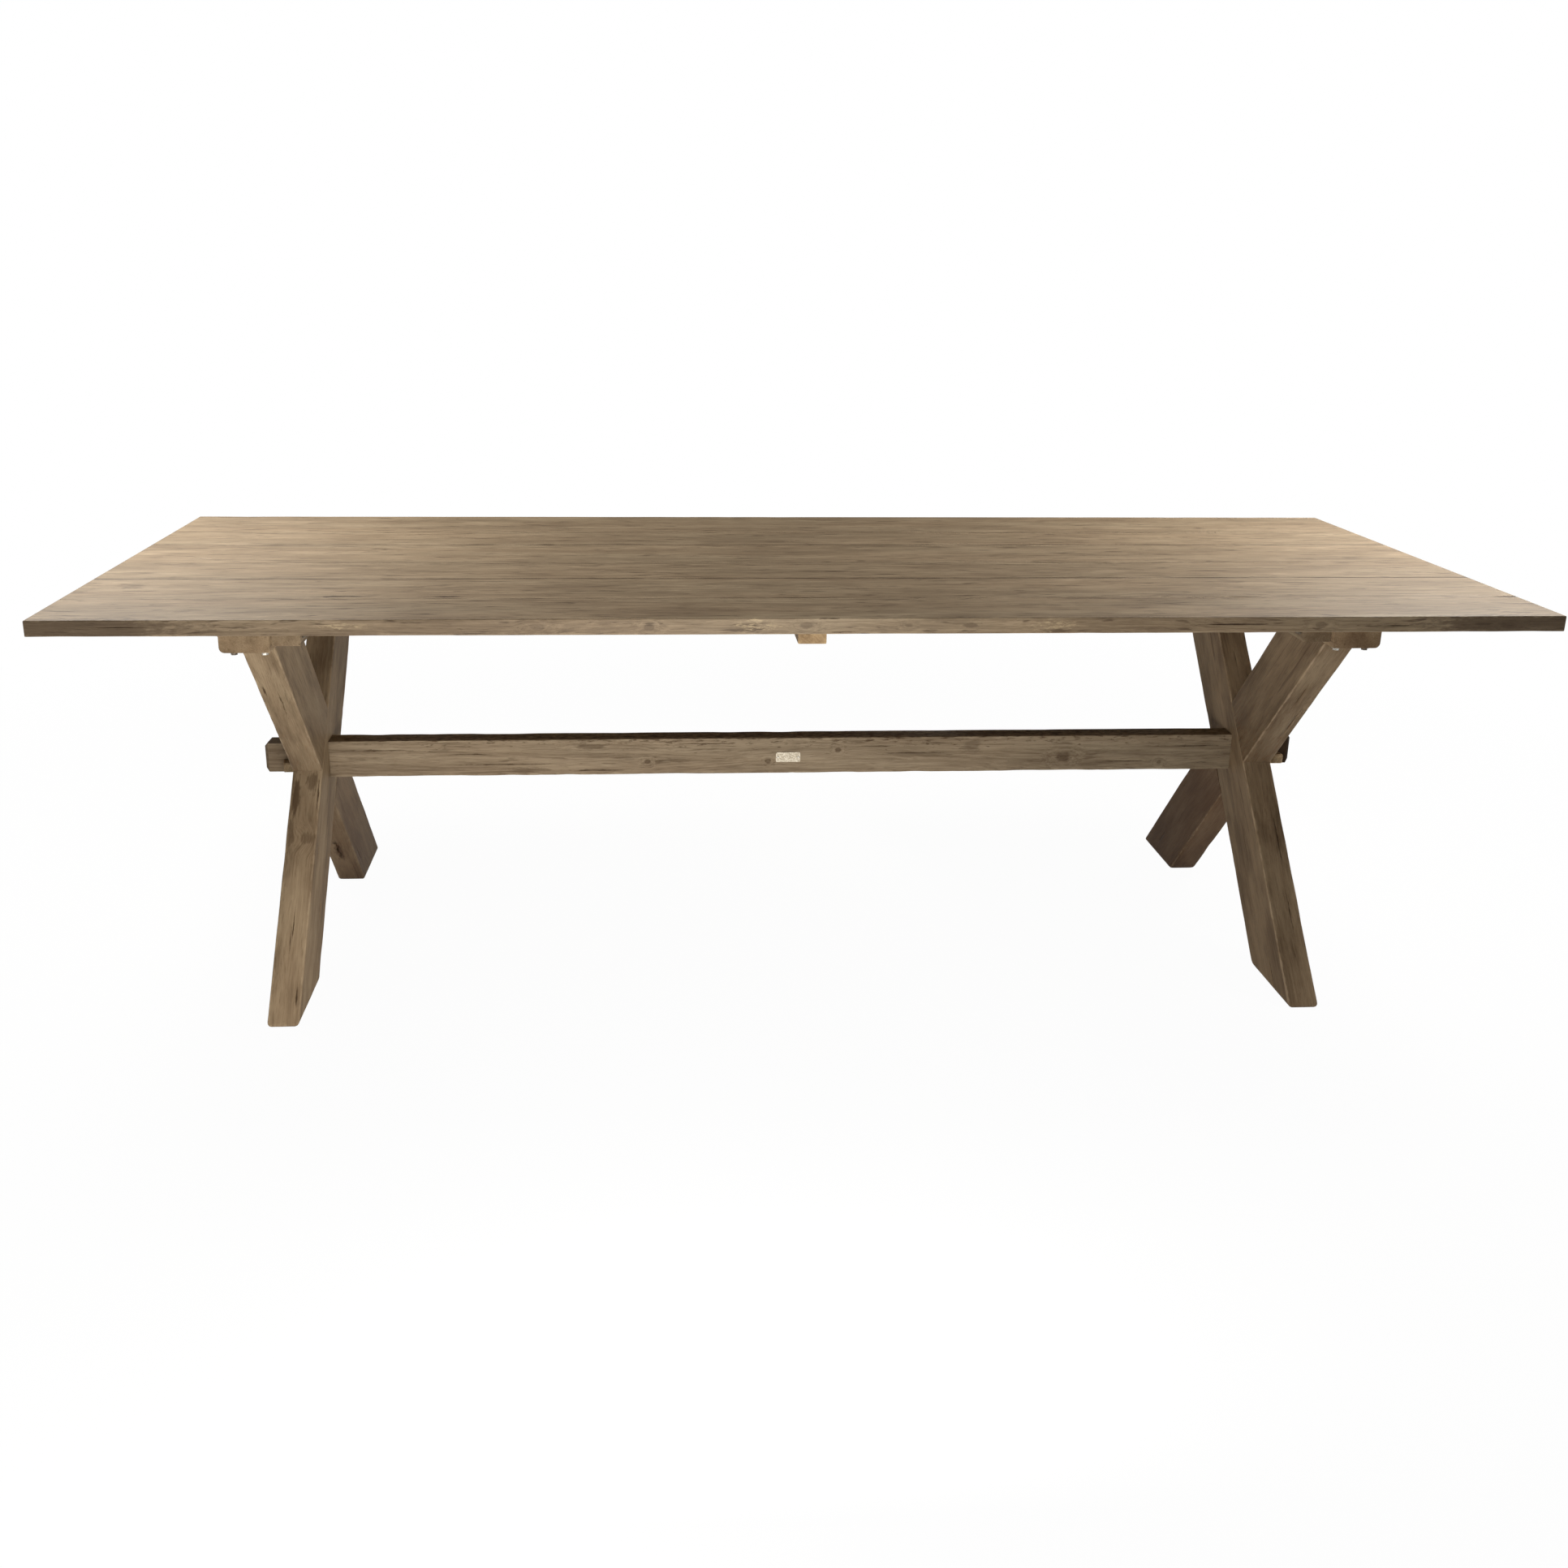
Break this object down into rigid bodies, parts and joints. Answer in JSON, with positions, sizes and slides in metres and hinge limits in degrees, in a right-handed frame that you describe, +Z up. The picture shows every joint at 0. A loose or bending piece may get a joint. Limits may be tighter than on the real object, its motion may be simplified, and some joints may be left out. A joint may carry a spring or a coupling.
{
  "type": "sawbuck table",
  "caption": "Long plank-topped dining table on two crossed-leg frames, joined by a stretcher whose through tenons are locked with wooden keys.",
  "frame": {"origin": "on the floor, under the middle of the table top", "axes": "+X along the length of the top, +Y from the front edge to the back edge, +Z up"},
  "size_m": [2.6, 1, 0.78],
  "materials": {
    "top_wood": "weathered grey-brown hardwood, planed and lightly waxed",
    "frame_wood": "weathered grey-brown hardwood, worn arrises",
    "key_wood": "bare hand-cut hardwood",
    "zinc_steel": "zinc-plated steel, a little dull",
    "plate_metal": "satin, bare"
  },
  "bodies": {
    "root": {"top_stave_1": "top_wood", "top_stave_2": "top_wood", "top_stave_3": "top_wood", "top_stave_4": "top_wood", "top_stave_5": "top_wood", "top_stave_6": "top_wood", "left_cleat": "frame_wood", "middle_cleat": "frame_wood", "right_cleat": "frame_wood", "left_rail": "frame_wood", "right_rail": "frame_wood", "left_front_leg": "frame_wood", "left_rear_leg": "frame_wood", "right_front_leg": "frame_wood", "right_rear_leg": "frame_wood", "stretcher": "frame_wood", "left_tusk_key": "key_wood", "right_tusk_key": "key_wood", "board_dowels": "key_wood", "frame_bolts": "zinc_steel", "bolt_washers": "zinc_steel", "bolt_nuts": "zinc_steel", "rail_lag_screws": "zinc_steel", "lag_washers": "zinc_steel", "cleat_screws": "zinc_steel", "blank_plate": "plate_metal", "plate_pins": "plate_metal"}
  },
  "joints": []
}
